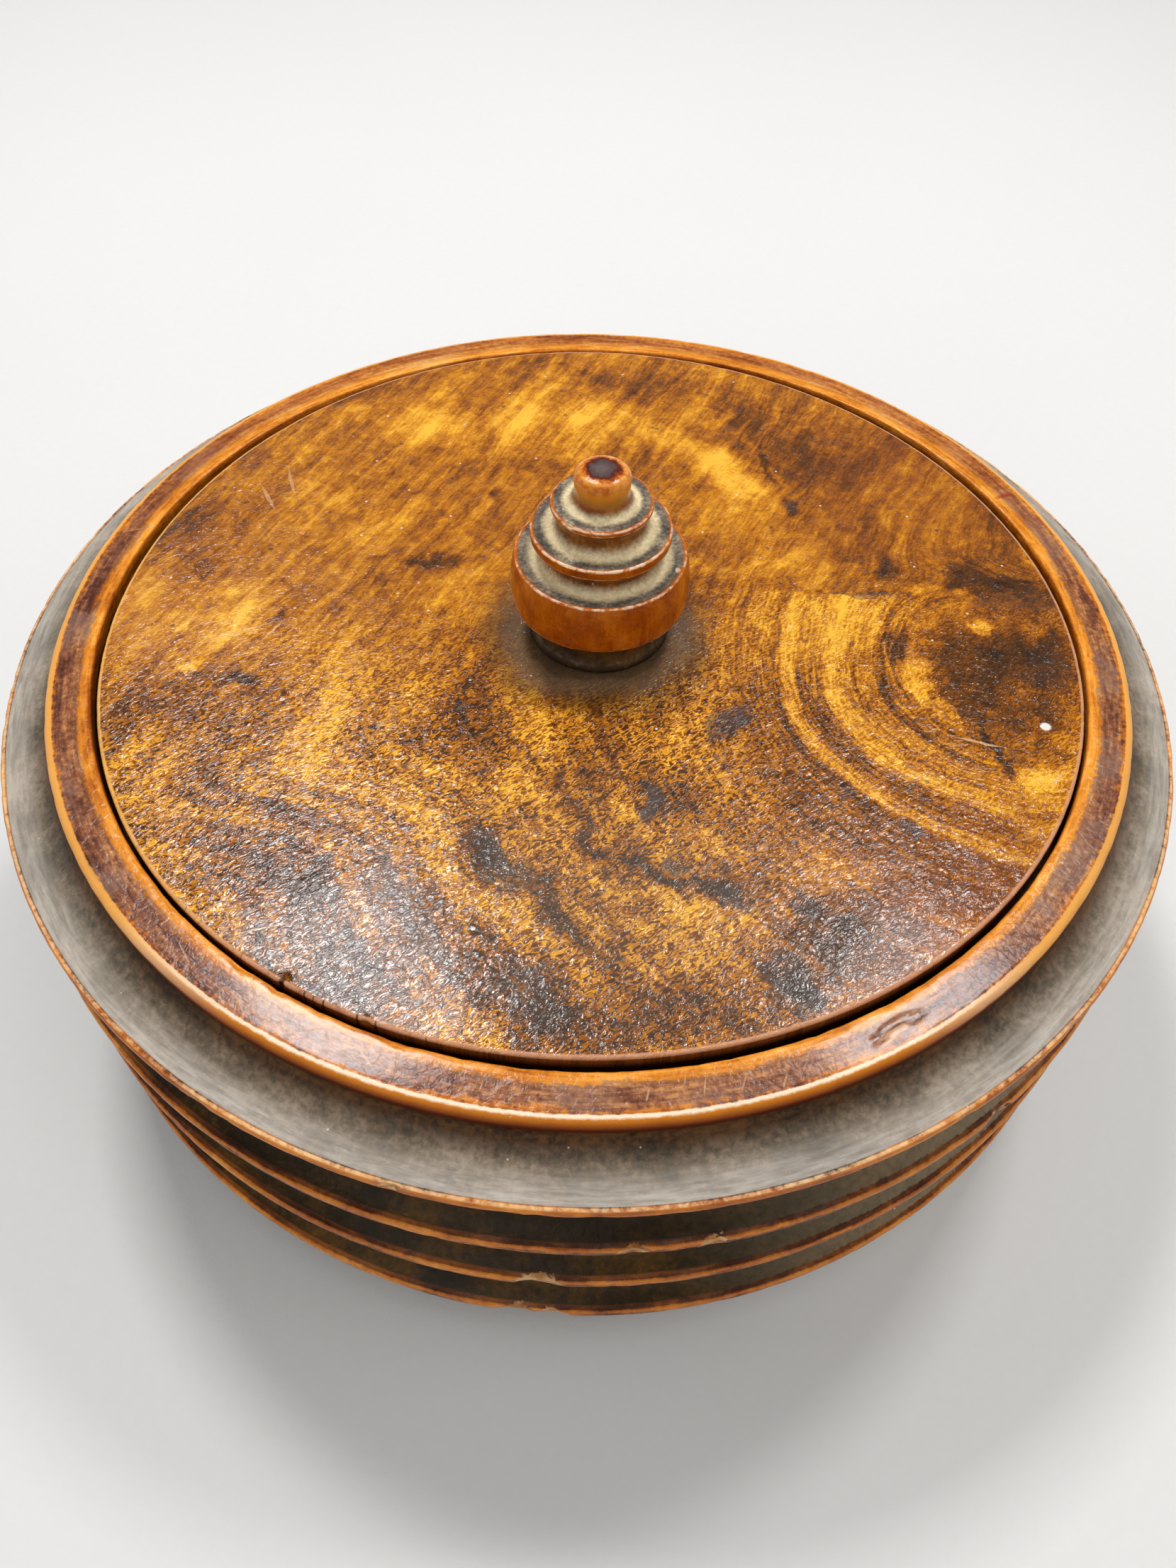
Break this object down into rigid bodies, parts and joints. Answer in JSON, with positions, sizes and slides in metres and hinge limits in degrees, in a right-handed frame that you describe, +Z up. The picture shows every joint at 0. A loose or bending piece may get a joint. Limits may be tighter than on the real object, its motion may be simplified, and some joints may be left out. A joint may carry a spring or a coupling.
{
  "type": "tobacco box",
  "caption": "Round turned wooden tobacco box: ribbed sides, stepped shoulder, drop-in lid with a tiered finial, and a loose press with a knob inside.",
  "frame": {"origin": "centre of the foot ring, on the surface the box stands on", "axes": "+Z up along the box's turning axis, -Y towards the front of the picture, +X to its right"},
  "size_m": [0.1504, 0.1504, 0.0772],
  "materials": {
    "box_wood": "old wax polish, satin, worn to orange on the rib, flange and rim edges",
    "lid_wood": "old wax polish, satin, mottled amber and dark brown with growth rings",
    "finial_wood": "polished by handling, dark and dusty on the ledges",
    "press_wood": "dry, darkened by tobacco",
    "press_knob_wood": "satin, darkened by handling"
  },
  "bodies": {
    "box": {"box_body": "box_wood"},
    "lid": {"lid_disc": "lid_wood", "finial": "finial_wood"},
    "press": {"tobacco_press": "press_wood", "press_knob": "press_knob_wood"}
  },
  "joints": [
    {"name": "lid_lift", "type": "slide", "parent": "box", "child": "lid", "axis": [0, 0, 1], "range_m": [0, 0.04]},
    {"name": "press_slide", "type": "slide", "parent": "box", "child": "press", "axis": [0, 0, 1], "range_m": [0, 0.0215]}
  ]
}
